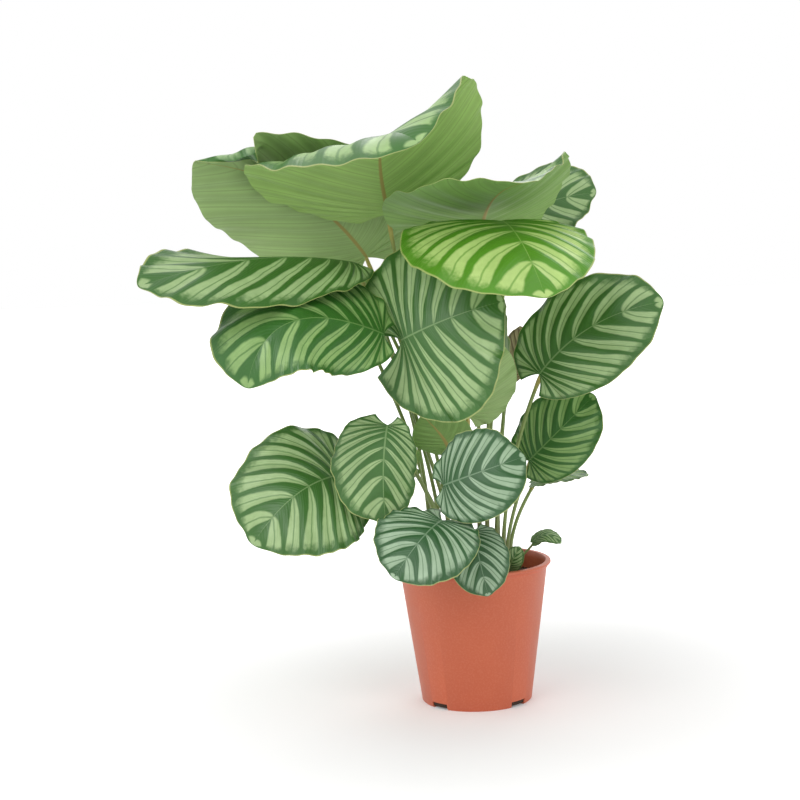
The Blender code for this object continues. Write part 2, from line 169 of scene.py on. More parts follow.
LEAF_TONE = {
    "top_left": "back_grey", "top_centre": "back_light", "top_right": "back_shaded",
    "left_mid": "plain_shaded", "right_high": "bright", "right_low": "plain_shaded", "low_centre": "silver",
    "low_left": "silver", "low_small": "silver", "under_centre": "back_grey",
    "under_low": "back_shaded", "under_fold": "back_shaded", "left_under": "back_shaded",
    "back_pale": "bright", "edge_on": "plain_shaded", "dried": "dry", "right_low_back": "plain_shaded",
}

# Each leaf has three points on its midrib (base, mid, tip) and a full width. `face` is the way
# its upper surface looks at the base, `face_tip` at the tip. `lobe` is how far the blade reaches
# behind its stalk. Each half is turned up or down by `lift` and bent by `curl`, in degrees, as one
# value or three from base to tip; _r is the half on the right when looking along the midrib with
# the upper surface on top. `right_share` widens the right half and narrows the left by as much.
# `root` is where the stalk leaves the soil, `arrive` its direction at the blade.
LEAVES = {
    "top_left": dict(
        base=(-0.135, 0.105, 0.600), mid=(-0.225, 0.020, 0.695), tip=(-0.345, -0.080, 0.735),
        width=0.245, lobe=0.030, face=(-0.25, 0.70, 0.65), face_tip=(-0.15, 0.72, 0.65),
        lift_r=(0, 0, 5), lift_l=(-5, -12, -15), curl_r=(5, 10, 10), curl_l=(-5, -5, 0),
        root=(-0.030, 0.035), arrive=(-0.35, 0.05, 0.95)),
    "top_centre": dict(
        base=(-0.100, 0.030, 0.660), mid=(-0.100, -0.085, 0.752), tip=(-0.050, -0.190, 0.745),
        width=0.330, lobe=0.015, face=(0.0, 0.70, 0.70), face_tip=(-0.05, -0.35, 0.95),
        right_share=1.08, lift_r=(4, -6, -12), lift_l=(13, 22, 28), curl_r=(0, -5, 0),
        curl_l=(3, 6, 10), root=(-0.015, 0.015), arrive=(-0.10, -0.05, 1.0)),
    "top_right": dict(
        base=(0.025, 0.055, 0.635), mid=(0.045, -0.055, 0.680), tip=(0.095, -0.150, 0.695),
        width=0.260, lobe=0.030, face=(0.0, 0.45, 0.88), face_tip=(0.1, -0.1, 1.0),
        right_share=1.12, lift_r=(0, -2, 0), lift_l=(10, 18, 25), curl_r=(-10, -5, 0),
        curl_l=(5, 15, 25), root=(0.010, 0.030), arrive=(0.05, 0.05, 1.0)),
    "left_high": dict(
        base=(-0.145, -0.005, 0.598), mid=(-0.270, -0.080, 0.608), tip=(-0.412, -0.150, 0.580),
        width=0.205, lobe=0.020, face=(-0.05, -0.15, 0.98), face_tip=(-0.40, -0.60, 0.70),
        lift_r=(-5, -10, 15), lift_l=(-8, -10, -5), curl_r=(-10, -10, 5),
        curl_l=(-25, -20, 0), root=(-0.055, 0.010), arrive=(-0.40, -0.32, 0.85)),
    "left_mid": dict(
        base=(-0.105, -0.115, 0.508), mid=(-0.220, -0.165, 0.530), tip=(-0.275, -0.185, 0.450),
        width=0.215, lobe=0.020, face=(-0.15, -0.70, 0.70), face_tip=(-0.40, -0.80, 0.45),
        right_share=1.22, lift_r=(-10, -14, -5), lift_l=-5, curl_r=(-15, -12, 0), curl_l=(-10, -10, 0),
        root=(-0.038, -0.012), arrive=(-0.05, -0.97, 0.15)),
    "centre": dict(
        base=(-0.085, -0.075, 0.497), mid=(-0.020, -0.095, 0.525), tip=(0.050, -0.105, 0.545),
        width=0.260, lobe=0.055, face=(-0.05, -0.93, 0.35), face_tip=(0.2, -0.9, 0.35),
        lift_r=(-5, -5, 0), lift_l=(-5, -5, 0), curl_r=(-10, -10, -5), curl_l=(-10, -10, -5),
        root=(-0.025, -0.010), arrive=(0.10, -0.20, 1.0)),
    "right_high": dict(
        base=(0.050, -0.008, 0.646), mid=(0.072, -0.120, 0.620), tip=(0.098, -0.210, 0.552),
        width=0.250, lobe=0.020, face=(0.05, -0.40, 0.90), face_tip=(0.1, -0.75, 0.6),
        right_share=1.22, lift_r=5, curl_r=(-8, -15, -10), curl_l=(-10, -15, -10),
        root=(0.020, 0.005), arrive=(0.10, -0.30, 0.95)),
    "right_mid": dict(
        base=(0.095, -0.030, 0.442), mid=(0.165, -0.045, 0.505), tip=(0.258, -0.050, 0.535),
        width=0.152, lobe=0.025, face=(-0.25, -0.87, 0.42), face_tip=(0.0, -0.85, 0.5),
        right_share=1.02, curl_r=(-12, -12, -5), curl_l=(-10, -10, -5),
        root=(0.040, -0.015), arrive=(0.35, -0.40, 0.85)),
    "right_low": dict(
        base=(0.080, 0.040, 0.318), mid=(0.120, 0.030, 0.358), tip=(0.172, 0.030, 0.408),
        width=0.115, lobe=0.020, face=(-0.15, -0.88, 0.45), curl_r=(-10, -10, 0),
        curl_l=(-10, -10, 0), root=(0.045, 0.025), arrive=(0.25, -0.60, 0.80)),
    "right_back": dict(
        base=(0.060, 0.130, 0.625), mid=(0.110, 0.120, 0.665), tip=(0.185, 0.100, 0.680),
        width=0.150, lobe=0.020, face=(-0.1, -0.75, 0.65), curl_r=(-10, -10, 0),
        curl_l=(-10, -10, 0), root=(0.020, 0.045), arrive=(0.10, 0.15, 0.97)),
    "lower_left": dict(
        base=(-0.168, -0.035, 0.318), mid=(-0.230, -0.075, 0.298), tip=(-0.288, -0.092, 0.236),
        width=0.205, lobe=0.035, face=(-0.20, -0.87, 0.45), face_tip=(-0.4, -0.85, 0.35),
        curl_r=(-10, -10, 0), curl_l=(-10, -10, 0),
        root=(-0.056, -0.014), arrive=(-0.50, -0.70, 0.50)),
    "lower_fold": dict(
        base=(-0.105, -0.105, 0.390), mid=(-0.112, -0.115, 0.330), tip=(-0.112, -0.095, 0.260),
        width=0.130, lobe=0.015, face=(0.0, -0.95, 0.3), right_share=1.25,
        lift_r=(-10, -25, -5), lift_l=(-10, -18, -10), curl_r=(-15, -10, 0),
        curl_l=(-25, -25, 0), root=(-0.035, -0.040), arrive=(-0.45, -0.35, 0.80)),
    "low_centre": dict(
        base=(-0.035, -0.130, 0.313), mid=(0.020, -0.155, 0.335), tip=(0.070, -0.150, 0.350),
        width=0.124, lobe=0.018, face=(-0.05, -0.90, 0.42), curl_r=(-15, -15, -5),
        curl_l=(-15, -15, -5), root=(0.005, -0.045), arrive=(-0.20, -0.60, 0.75)),
    "low_left": dict(
        base=(-0.038, -0.142, 0.270), mid=(-0.066, -0.175, 0.250), tip=(-0.100, -0.190, 0.206),
        width=0.142, lobe=0.028, face=(-0.25, -0.80, 0.55), curl_r=(-15, -15, -5),
        curl_l=(-15, -15, -5), root=(-0.020, -0.052), arrive=(-0.15, -0.75, 0.60)),
    "low_small": dict(
        base=(0.002, -0.115, 0.251), mid=(0.008, -0.140, 0.218), tip=(0.018, -0.150, 0.172),
        width=0.082, lobe=0.012, face=(0.1, -0.85, 0.5), curl_r=(-15, -15, -5),
        curl_l=(-15, -15, -5), root=(0.022, -0.050), arrive=(-0.10, -0.70, 0.65)),
    "left_under": dict(
        base=(-0.140, 0.060, 0.505), mid=(-0.180, 0.030, 0.548), tip=(-0.235, 0.010, 0.568),
        width=0.120, lobe=0.020, face=(-0.35, 0.6, 0.7), curl_r=5, curl_l=5,
        root=(-0.050, 0.038), arrive=(-0.35, 0.0, 0.93)),
    "under_centre": dict(
        base=(-0.002, -0.010, 0.387), mid=(0.012, -0.025, 0.440), tip=(0.035, -0.040, 0.495),
        width=0.110, lobe=0.015, face=(0.0, 0.85, 0.5), curl_r=5, curl_l=5,
        root=(-0.002, -0.008), arrive=(0.0, 0.05, 1.0)),
    "under_low": dict(
        base=(-0.028, -0.045, 0.350), mid=(-0.040, -0.058, 0.373), tip=(-0.062, -0.066, 0.398),
        width=0.085, lobe=0.012, face=(0.1, 0.8, 0.6), curl_r=5, curl_l=5,
        root=(-0.010, -0.030), arrive=(-0.15, -0.10, 0.95)),
    "under_fold": dict(
        base=(-0.075, -0.050, 0.330), mid=(-0.115, -0.045, 0.345), tip=(-0.130, -0.045, 0.360),
        width=0.070, lobe=0.012, face=(0.0, 0.85, 0.5), curl_r=5, curl_l=5,
        root=(-0.028, -0.030), arrive=(-0.45, -0.25, 0.85)),
    "back_pale": dict(
        base=(-0.150, 0.165, 0.605), mid=(-0.205, 0.165, 0.635), tip=(-0.275, 0.145, 0.650),
        width=0.110, lobe=0.015, face=(-0.2, 0.6, 0.75), curl_r=5, curl_l=5,
        root=(-0.015, 0.050), arrive=(-0.30, 0.30, 0.90)),
    "edge_on": dict(
        base=(0.055, 0.050, 0.430), mid=(0.050, 0.035, 0.490), tip=(0.048, 0.010, 0.555),
        width=0.070, lobe=0.010, face=(0.95, 0.2, 0.2), curl_r=-8, curl_l=-8,
        root=(0.032, 0.030), arrive=(0.05, 0.0, 1.0)),
    "dried": dict(
        base=(0.058, 0.100, 0.425), mid=(0.068, 0.095, 0.455), tip=(0.075, 0.085, 0.500),
        width=0.040, lobe=0.005, face=(0.2, -0.9, 0.3), curl_r=-15, curl_l=-25,
        root=(0.035, 0.045), arrive=(0.20, -0.40, 0.90)),
    "right_low_back": dict(
        base=(0.085, 0.115, 0.275), mid=(0.120, 0.105, 0.288), tip=(0.165, 0.090, 0.288),
        width=0.050, lobe=0.005, face=(0.1, -0.3, 0.95), curl_r=-10, curl_l=-10,
        root=(0.050, 0.040), arrive=(0.45, 0.60, 0.65)),
    "rim_green": dict(
        base=(0.080, -0.020, 0.215), mid=(0.098, -0.030, 0.228), tip=(0.118, -0.035, 0.216),
        width=0.026, lobe=0.003, face=(0.1, -0.6, 0.8), curl_r=-20, curl_l=-20,
        root=(0.056, -0.008), arrive=(0.50, -0.20, 0.80), stalk=0.6),
    "rim_bud": dict(
        base=(0.047, -0.055, 0.190), mid=(0.053, -0.066, 0.203), tip=(0.062, -0.068, 0.220),
        width=0.028, lobe=0.004, face=(-0.1, -0.9, 0.4), curl_r=-15, curl_l=-15,
        root=(0.043, -0.046), arrive=(0.10, -0.60, 0.75), stalk=0.4),
}


def unit(vector):
    """The vector, or each vector along the last axis, at length 1."""
    vector = np.asarray(vector, float)
    length = np.linalg.norm(vector, axis=-1, keepdims=True)
    return vector / np.maximum(length, 1e-12)


def base_to_tip(values, along):
    """One value, or a smooth curve through the three for base, middle and tip."""
    base, middle, tip = np.broadcast_to(np.asarray(values, float), 3)
    along = np.clip(along, 0, 1)
    return (
        base * (1 - along) * (1 - 2 * along)
        + middle * 4 * along * (1 - along)
        + tip * along * (2 * along - 1)
    )


def midrib(leaf, share):
    """Points and directions on the curve through base, mid and tip, straight behind the base."""
    base, mid, tip = (np.asarray(leaf[key], float) for key in ("base", "mid", "tip"))
    share = np.asarray(share, float)[..., None]
    on = np.clip(share, 0, 1)
    point = base * (1 - on) * (1 - 2 * on) + mid * 4 * on * (1 - on) + tip * on * (2 * on - 1)
    direction = base * (4 * on - 3) + mid * (4 - 8 * on) + tip * (4 * on - 1)
    return point + direction * (share - on), unit(direction)


def midrib_lengths(leaf):
    """Shares of the midrib, and how far along it each lies."""
    shares = np.linspace(0, 1, 61)
    steps = np.linalg.norm(np.diff(midrib(leaf, shares)[0], axis=0), axis=1)
    return shares, np.concatenate([[0], np.cumsum(steps)])


def vein_point(length, half_width, lobe, vein, out):
    """Flat place (across, along) on a side vein: vein 0 at the base to 1 at the tip, out 0 to 1."""
    angle = FIRST_ANGLE + (math.pi - FIRST_ANGLE) * vein
    half_length = (length * (1 - TIP_POINT) + lobe) / 2
    tip_bump = TIP_POINT * length * np.exp(-(((math.pi - angle) / 0.16) ** 2))
    end_x = half_width * np.sin(angle) ** ROUNDNESS
    end_y = half_length - lobe - half_length * np.cos(angle) + tip_bump
    start_y = length * vein**VEIN_CROWDING
    bend_x = 0.50 * end_x
    bend_y = start_y + 0.22 * (end_y - start_y)
    x = 2 * out * (1 - out) * bend_x + out**2 * end_x
    y = (1 - out) ** 2 * start_y + 2 * out * (1 - out) * bend_y + out**2 * end_y
    return x, y


def upper_direction(leaf, along, direction):
    """The way the upper surface looks, square to the midrib."""
    first = unit(leaf["face"])
    last = unit(leaf.get("face_tip", leaf["face"]))
    share = np.clip(along, 0, 1)[..., None]
    facing = first * (1 - share) + last * share
    return unit(facing - (facing * direction).sum(-1, keepdims=True) * direction)


def blade_grid(leaf, veins, outs):
    """Middle surface of a blade: a row for each side vein, a column for each share of the way out."""
    shares, lengths = midrib_lengths(leaf)
    length = lengths[-1]
    vein, out = np.broadcast_arrays(veins[:, None], outs[None, :])
    right = out > 0
    share = leaf.get("right_share", 1.0)
    half_width = leaf["width"] / 2 * np.where(right, share, 2 - share)
    x, y = vein_point(length, half_width, leaf["lobe"], vein, np.abs(out))
    start_speed = lengths[1] / shares[1]
    point, direction = midrib(leaf, np.where(y >= 0, np.interp(y, lengths, shares), y / start_speed))
    along = y / length
    up = upper_direction(leaf, along, direction)
    across = unit(np.cross(direction, up))

    lift = np.where(
        right,
        base_to_tip(leaf.get("lift_r", 0), along),
        base_to_tip(leaf.get("lift_l", 0), along),
    )
    curl = np.where(
        right,
        base_to_tip(leaf.get("curl_r", 0), along),
        base_to_tip(leaf.get("curl_l", 0), along),
    )
    sideways = np.zeros_like(x)
    upward = np.zeros_like(x)
    for step in range(ACROSS_STEPS):
        part = (step + 0.5) / ACROSS_STEPS
        turn = lift + curl * part * x / half_width
        sideways += np.cos(np.radians(turn)) * x / ACROSS_STEPS
        upward += np.sin(np.radians(turn)) * x / ACROSS_STEPS
    sign = np.where(right, 1, -1)
    return point + across * (sign * sideways)[..., None] + up * upward[..., None]


def petiole_path(leaf):
    """Middle line and radii of a stalk, from the soil to just under its blade."""
    base, direction = midrib(leaf, 0.0)
    up = upper_direction(leaf, np.array(0.0), direction)
    arrive = unit(leaf["arrive"])
    droop = min(0, *(base_to_tip(leaf.get(half, 0), 0.0) for half in ("lift_r", "lift_l")))
    sideways = math.sqrt(max(0, 1 - float(arrive @ up) ** 2))
    radius = PETIOLE_RADIUS * leaf.get("stalk", 1.0)
    clear = BLADE_THICKNESS / 2 + GAP + radius * (sideways + math.tan(math.radians(-droop)))
    end = base + direction * radius - up * clear
    foot = np.array([*leaf["root"], SOIL_TOP + GAP])
    reach = np.linalg.norm(end - foot)
    controls = (foot, foot + np.array([0, 0, 0.40 * reach]), end - arrive * 0.30 * reach, end)
    share = np.linspace(0, 1, STALK_RINGS)[:, None]
    path = (
        (1 - share) ** 3 * controls[0]
        + 3 * share * (1 - share) ** 2 * controls[1]
        + 3 * share**2 * (1 - share) * controls[2]
        + share**3 * controls[3]
    )
    swell = PETIOLE_FOOT * min(1.0, leaf.get("stalk", 1.0))
    radii = radius + (swell - radius) * np.clip(1 - share[:, 0] / 0.25, 0, 1)
    return path, radii


def turned_solid(profile, sides):
    """Vertices and faces of a profile (radius, height) turned about Z, from axis to axis."""
    points = []
    rings = []
    for radius, height in profile:
        if radius == 0:
            rings.append([len(points)] * sides)
            points.append((0, 0, height))
            continue
        rings.append(list(range(len(points), len(points) + sides)))
        for side in range(sides):
            angle = 2 * math.pi * side / sides
            points.append((radius * math.cos(angle), radius * math.sin(angle), height))
    faces = []
    for low, high in zip(rings, rings[1:]):
        for side in range(sides):
            after = (side + 1) % sides
            corners = dict.fromkeys((low[side], low[after], high[after], high[side]))
            faces.append(tuple(corners))
    return np.array(points, float), faces


def wall_radius(height):
    """Outer radius of the tapered body."""
    share = height / (POT_HEIGHT - COLLAR_HEIGHT)
    return BASE_RADIUS + (BODY_RADIUS - BASE_RADIUS) * share


def pot_profile():
    """Outline of the pot from the middle of its underside, out, up and back down inside."""
    collar_base = POT_HEIGHT - COLLAR_HEIGHT
    lip_base = POT_HEIGHT - LIP_HEIGHT
    inner_top = BODY_RADIUS - WALL
    return [
        (0, 0),
        (BASE_RADIUS - 0.0015, 0),
        (BASE_RADIUS, 0.0015),
        (BODY_RADIUS, collar_base),
        (COLLAR_RADIUS, collar_base + 0.0012),
        (COLLAR_RADIUS, lip_base),
        (RIM_RADIUS - 0.0008, lip_base - 0.001),
        (RIM_RADIUS, lip_base),
        (RIM_RADIUS - 0.0006, POT_HEIGHT - 0.0006),
        (RIM_RADIUS - 0.0016, POT_HEIGHT),
        (inner_top + 0.0008, POT_HEIGHT),
        (inner_top, POT_HEIGHT - 0.001),
        (inner_top, collar_base),
        (wall_radius(FLOOR) - WALL, FLOOR),
        (0, FLOOR),
    ]


def wedge(middle, width, inner, outer, low, high):
    """Vertices and faces of a block between two radii and two heights, about one angle."""
    points = []
    for height in (low, high):
        for radius, turn in ((inner, -1), (outer, -1), (outer, 1), (inner, 1)):
            angle = middle + turn * width / 2
            points.append((radius * math.cos(angle), radius * math.sin(angle), height))
    faces = [(3, 2, 1, 0), (4, 5, 6, 7)]
    faces += [(side, (side + 1) % 4, (side + 1) % 4 + 4, side + 4) for side in range(4)]
    return np.array(points), faces


def graph_of(name):
    """A new material, with its nodes, links and Principled shader."""
    made = bpy.data.materials.new(name)
    made.use_nodes = True
    nodes, links = made.node_tree.nodes, made.node_tree.links
    return made, nodes, links, nodes["Principled BSDF"]


def feed(links, socket, value):
    """Gives a socket a number, a colour or the output of another node."""
    if isinstance(value, tuple):
        socket.default_value = (*value, 1)
    elif isinstance(value, (int, float)):
        socket.default_value = value
    else:
        links.new(value, socket)


def math_node(nodes, links, operation, *values):
    """A Math node whose inputs are numbers or sockets."""
    node = nodes.new("ShaderNodeMath")
    node.operation = operation
    for socket, value in zip(node.inputs, values):
        feed(links, socket, value)
    return node.outputs[0]


def step_node(nodes, links, value, low, high, start=0.0, end=1.0):
    """A smooth step from start to end, while the value goes from low to high."""
    node = nodes.new("ShaderNodeMapRange")
    node.interpolation_type = "SMOOTHSTEP"
    keys = ("Value", "From Min", "From Max", "To Min", "To Max")
    for key, given in zip(keys, (value, low, high, start, end)):
        feed(links, node.inputs[key], given)
    return node.outputs[0]


def mix_node(nodes, links, share, first, second):
    """A colour between two colours, given as tuples or sockets."""
    node = nodes.new("ShaderNodeMix")
    node.data_type = "RGBA"
    links.new(share, node.inputs["Factor"])
    colours = [socket for socket in node.inputs if socket.type == "RGBA"]
    for socket, colour in zip(colours, (first, second)):
        feed(links, socket, colour)
    return [socket for socket in node.outputs if socket.type == "RGBA"][0]


def attribute_node(nodes, name):
    """The number that the mesh keeps at each point under this name."""
    node = nodes.new("ShaderNodeAttribute")
    node.attribute_name = name
    return node.outputs["Fac"]


def noise_node(nodes, links, scale, detail=3.0):
    """Noise in the object's own metres; a higher scale is finer."""
    place = nodes.new("ShaderNodeTexCoord")
    node = nodes.new("ShaderNodeTexNoise")
    node.inputs["Scale"].default_value = scale
    node.inputs["Detail"].default_value = detail
    links.new(place.outputs["Object"], node.inputs["Vector"])
    return node.outputs["Fac"]


def bump_node(nodes, links, shader, height, distance, strength=0.6):
    """Fine relief on the shader, `distance` metres high."""
    node = nodes.new("ShaderNodeBump")
    node.inputs["Strength"].default_value = strength
    node.inputs["Distance"].default_value = distance
    links.new(height, node.inputs["Height"])
    links.new(node.outputs["Normal"], shader.inputs["Normal"])


def distance_from_middle(nodes, links, phase):
    """How far a repeating phase is from the middle of its turn, up to 0.5 at the turn's ends."""
    turn = math_node(nodes, links, "FRACT", phase)
    return math_node(nodes, links, "ABSOLUTE", math_node(nodes, links, "SUBTRACT", turn, 0.5))


def pale_share(nodes, links, vein, out, wander):
    """Where the pale bands lie: wedges from the midrib, split by a thin line, ragged at the margin."""
    shifted = math_node(nodes, links, "MULTIPLY_ADD", wander, BAND_WANDER, -BAND_WANDER / 2)
    phase = math_node(nodes, links, "MULTIPLY_ADD", vein, BANDS, shifted)
    away = math_node(nodes, links, "MULTIPLY", distance_from_middle(nodes, links, phase), 2.0)
    widening = math_node(nodes, links, "POWER", out, BAND_GROWTH)
    opening = math_node(nodes, links, "MULTIPLY", widening, BAND_WIDTH)
    closing = step_node(nodes, links, out, 0.90, 0.995, 1.0, 0.30)
    reach = math_node(nodes, links, "MULTIPLY", opening, closing)
    low = math_node(nodes, links, "SUBTRACT", reach, 0.14)
    high = math_node(nodes, links, "ADD", reach, 0.06)
    pale = step_node(nodes, links, away, low, high, 1.0, 0.0)
    line = step_node(nodes, links, away, 0.03, 0.11)
    lined = math_node(nodes, links, "MULTIPLY_ADD", line, 1 - LINE_PALENESS, LINE_PALENESS)
    pale = math_node(nodes, links, "MULTIPLY", pale, lined)
    ragged = math_node(nodes, links, "MULTIPLY_ADD", noise_node(nodes, links, 130.0), 0.16, out)
    fade = step_node(nodes, links, ragged, 0.90, 1.04, 1.0, 0.05)
    pale = math_node(nodes, links, "MULTIPLY", pale, fade)
    patch = step_node(nodes, links, noise_node(nodes, links, 60.0), 0.35, 0.75, 0.84, 1.0)
    return math_node(nodes, links, "MULTIPLY", pale, patch)


def upper_material(tone):
    """The striped upper surface: pale bands along the side veins, a fine midrib, a pale margin."""
    dark, light, _ = TONES[tone]
    made, nodes, links, shader = graph_of(f"upper_{tone}")
    vein, out, rib = (attribute_node(nodes, key) for key in ("vein", "out", "rib"))
    wander = noise_node(nodes, links, 22.0)
    pale = pale_share(nodes, links, vein, out, wander)
    deeper = tuple(0.72 * part for part in dark)
    ground = mix_node(nodes, links, noise_node(nodes, links, 35.0), deeper, dark)
    colour = mix_node(nodes, links, pale, ground, light)
    rib_colour = tuple(0.45 * a + 0.55 * b for a, b in zip(light, dark))
    on_rib = step_node(nodes, links, rib, 0.0007, 0.0015, 0.85, 0.0)
    colour = mix_node(nodes, links, on_rib, colour, rib_colour)
    on_margin = step_node(nodes, links, out, 0.982, 0.995, 0.0, 0.7)
    colour = mix_node(nodes, links, on_margin, colour, MARGIN_COLOUR)
    links.new(colour, shader.inputs["Base Color"])
    rough = step_node(nodes, links, wander, 0.3, 0.7, 0.34, 0.46)
    links.new(rough, shader.inputs["Roughness"])
    fine = math_node(nodes, links, "SINE", math_node(nodes, links, "MULTIPLY", vein, BANDS * 50))
    grain = math_node(nodes, links, "ADD", fine, noise_node(nodes, links, 400.0))
    bump_node(nodes, links, shader, grain, 0.00012)
    return made


def under_material(tone):
    """The matt underside: fine parallel veins and a tan midrib."""
    under = TONES[tone][2]
    made, nodes, links, shader = graph_of(f"under_{tone}")
    vein, rib = (attribute_node(nodes, key) for key in ("vein", "rib"))
    phase = math_node(nodes, links, "MULTIPLY", vein, BANDS * 2)
    away = distance_from_middle(nodes, links, phase)
    line = step_node(nodes, links, away, 0.0, 0.09, 0.55, 0.0)
    broad = step_node(nodes, links, away, 0.10, 0.45)
    paler = tuple(min(1, 1.14 * part) for part in under)
    veined = tuple(0.66 * part for part in under)
    colour = mix_node(nodes, links, broad, paler, under)
    colour = mix_node(nodes, links, line, colour, veined)
    blotch = step_node(nodes, links, noise_node(nodes, links, 14.0), 0.35, 0.7, 0.0, 0.25)
    colour = mix_node(nodes, links, blotch, colour, veined)
    on_rib = step_node(nodes, links, rib, 0.0018, 0.0032, 0.9, 0.0)
    colour = mix_node(nodes, links, on_rib, colour, MIDRIB_COLOUR)
    links.new(colour, shader.inputs["Base Color"])
    shader.inputs["Roughness"].default_value = 0.62
    grain = math_node(nodes, links, "ADD", line, noise_node(nodes, links, 500.0))
    bump_node(nodes, links, shader, grain, 0.00015)
    return made


def stalk_material():
    """Green stalk, brown-tinged at the foot and yellow where it swells under the blade."""
    made, nodes, links, shader = graph_of("stalk")
    along = attribute_node(nodes, "along")
    streak = noise_node(nodes, links, 70.0)
    green = mix_node(nodes, links, streak, (0.13, 0.21, 0.045), (0.30, 0.38, 0.12))
    foot = step_node(nodes, links, along, 0.02, 0.28, 0.8, 0.0)
    colour = mix_node(nodes, links, foot, green, (0.14, 0.10, 0.035))
    top = step_node(nodes, links, along, 0.86, 0.97)
    colour = mix_node(nodes, links, top, colour, (0.50, 0.42, 0.11))
    links.new(colour, shader.inputs["Base Color"])
    shader.inputs["Roughness"].default_value = 0.42
    bump_node(nodes, links, shader, noise_node(nodes, links, 300.0), 0.0002)
    return made


def plastic_material():
    """Satin terracotta-coloured plastic, slightly cloudy and faintly speckled."""
    made, nodes, links, shader = graph_of("terracotta_plastic")
    speck = step_node(nodes, links, noise_node(nodes, links, 420.0), 0.42, 0.70)
    cloud = noise_node(nodes, links, 18.0)
    colour = mix_node(nodes, links, cloud, (0.60, 0.122, 0.052), (0.68, 0.165, 0.078))
    faint = math_node(nodes, links, "MULTIPLY", speck, 0.22)
    colour = mix_node(nodes, links, faint, colour, (0.74, 0.25, 0.14))
    links.new(colour, shader.inputs["Base Color"])
    links.new(step_node(nodes, links, cloud, 0.3, 0.7, 0.40, 0.52), shader.inputs["Roughness"])
    bump_node(nodes, links, shader, noise_node(nodes, links, 900.0), 0.00012)
    return made


def soil_material():
    """Dark moist peat, browner on its lumps."""
    made, nodes, links, shader = graph_of("potting_soil")
    lumps = noise_node(nodes, links, 160.0, 6.0)
    colour = mix_node(nodes, links, lumps, (0.014, 0.009, 0.006), (0.085, 0.050, 0.030))
    links.new(colour, shader.inputs["Base Color"])
    shader.inputs["Roughness"].default_value = 0.92
    bump_node(nodes, links, shader, lumps, 0.0015, 1.0)
    return made


def add_object(name, data):
    """A new object in the scene."""
    made = bpy.data.objects.new(name, data)
    bpy.context.scene.collection.objects.link(made)
    return made


def new_mesh(name, points, faces, surfaces, attributes=None, surface_of=None):
    """A smooth mesh object, with a number at each point for each attribute."""
    mesh = bpy.data.meshes.new(name)
    mesh.from_pydata([tuple(map(float, point)) for point in points], [], faces)
    for surface in surfaces:
        mesh.materials.append(surface)
    if surface_of is not None:
        mesh.polygons.foreach_set("material_index", surface_of)
    for key, values in (attributes or {}).items():
        mesh.attributes.new(key, "FLOAT", "POINT").data.foreach_set("value", values)
    mesh.shade_smooth()
    return add_object(name, mesh)


def face_out(made):
    """Turns the faces of a closed mesh to point out, and keeps its corners sharp."""
    shape = bmesh.new()
    shape.from_mesh(made.data)
    bmesh.ops.recalc_face_normals(shape, faces=shape.faces)
    shape.to_mesh(made.data)
    shape.free()
    made.data.set_sharp_from_angle(angle=SHARP_ANGLE)


def fitted(points, node):
    """The points moved and scaled a little so that they fill the CAD node's box."""
    low, high = (np.array(corner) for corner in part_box(node))
    own_low, own_high = points.reshape(-1, 3).min(axis=0), points.reshape(-1, 3).max(axis=0)
    scale = (high - low) / np.maximum(own_high - own_low, 1e-6)
    scale = np.clip(scale, 1 - FIT_LIMIT, 1 + FIT_LIMIT)
    return (points - (own_low + own_high) / 2) * scale + (low + high) / 2


def upper_normals(grid):
    """The way the upper surface of a blade looks at each point of its grid."""
    normal = np.cross(np.gradient(grid, axis=1), np.gradient(grid, axis=0))
    normal[-1] = normal[-2].mean(axis=0)
    return unit(normal)


def rolled(grid, normal, veins, outs, half, first, last, degrees):
    """The grid with a stretch of margin rolled over towards the underside."""
    grid = grid.copy()
    beyond = [column for column in range(len(outs)) if outs[column] * half > ROLL_START]
    inner = min(beyond, key=lambda column: abs(outs[column])) - half
    margin = max(beyond, key=lambda column: abs(outs[column]))
    for row, vein in enumerate(veins[:-1]):
        share = np.clip((vein - first) / (last - first), 0, 1)
        start = grid[row, inner].copy()
        length = np.linalg.norm(grid[row, margin] - start)
        turn = math.radians(degrees) * math.sin(math.pi * share) ** 0.7
        if turn < 0.05 or length < 1e-5:
            continue
        outward = (grid[row, margin] - start) / length
        for column in beyond:
            part = np.linalg.norm(grid[row, column] - start) / length
            ahead, down = math.sin(turn * part), 1 - math.cos(turn * part)
            grid[row, column] = start + (outward * ahead - normal[row, inner] * down) * length / turn
    return grid


def margin_wave(number, vein, out):
    """The wave of a blade's margin, different for each blade and for its two halves."""
    random = np.random.default_rng(BLADE_SEED + number)
    wave = np.zeros_like(vein)
    for side in (-1, 1):
        for count in WAVES:
            shift, share = random.uniform(0, 1), random.uniform(0.5, 1.0) / math.sqrt(count)
            bend = np.sin(2 * math.pi * (count * vein + shift))
            wave += share * bend * (np.sign(out) == side)
    return wave


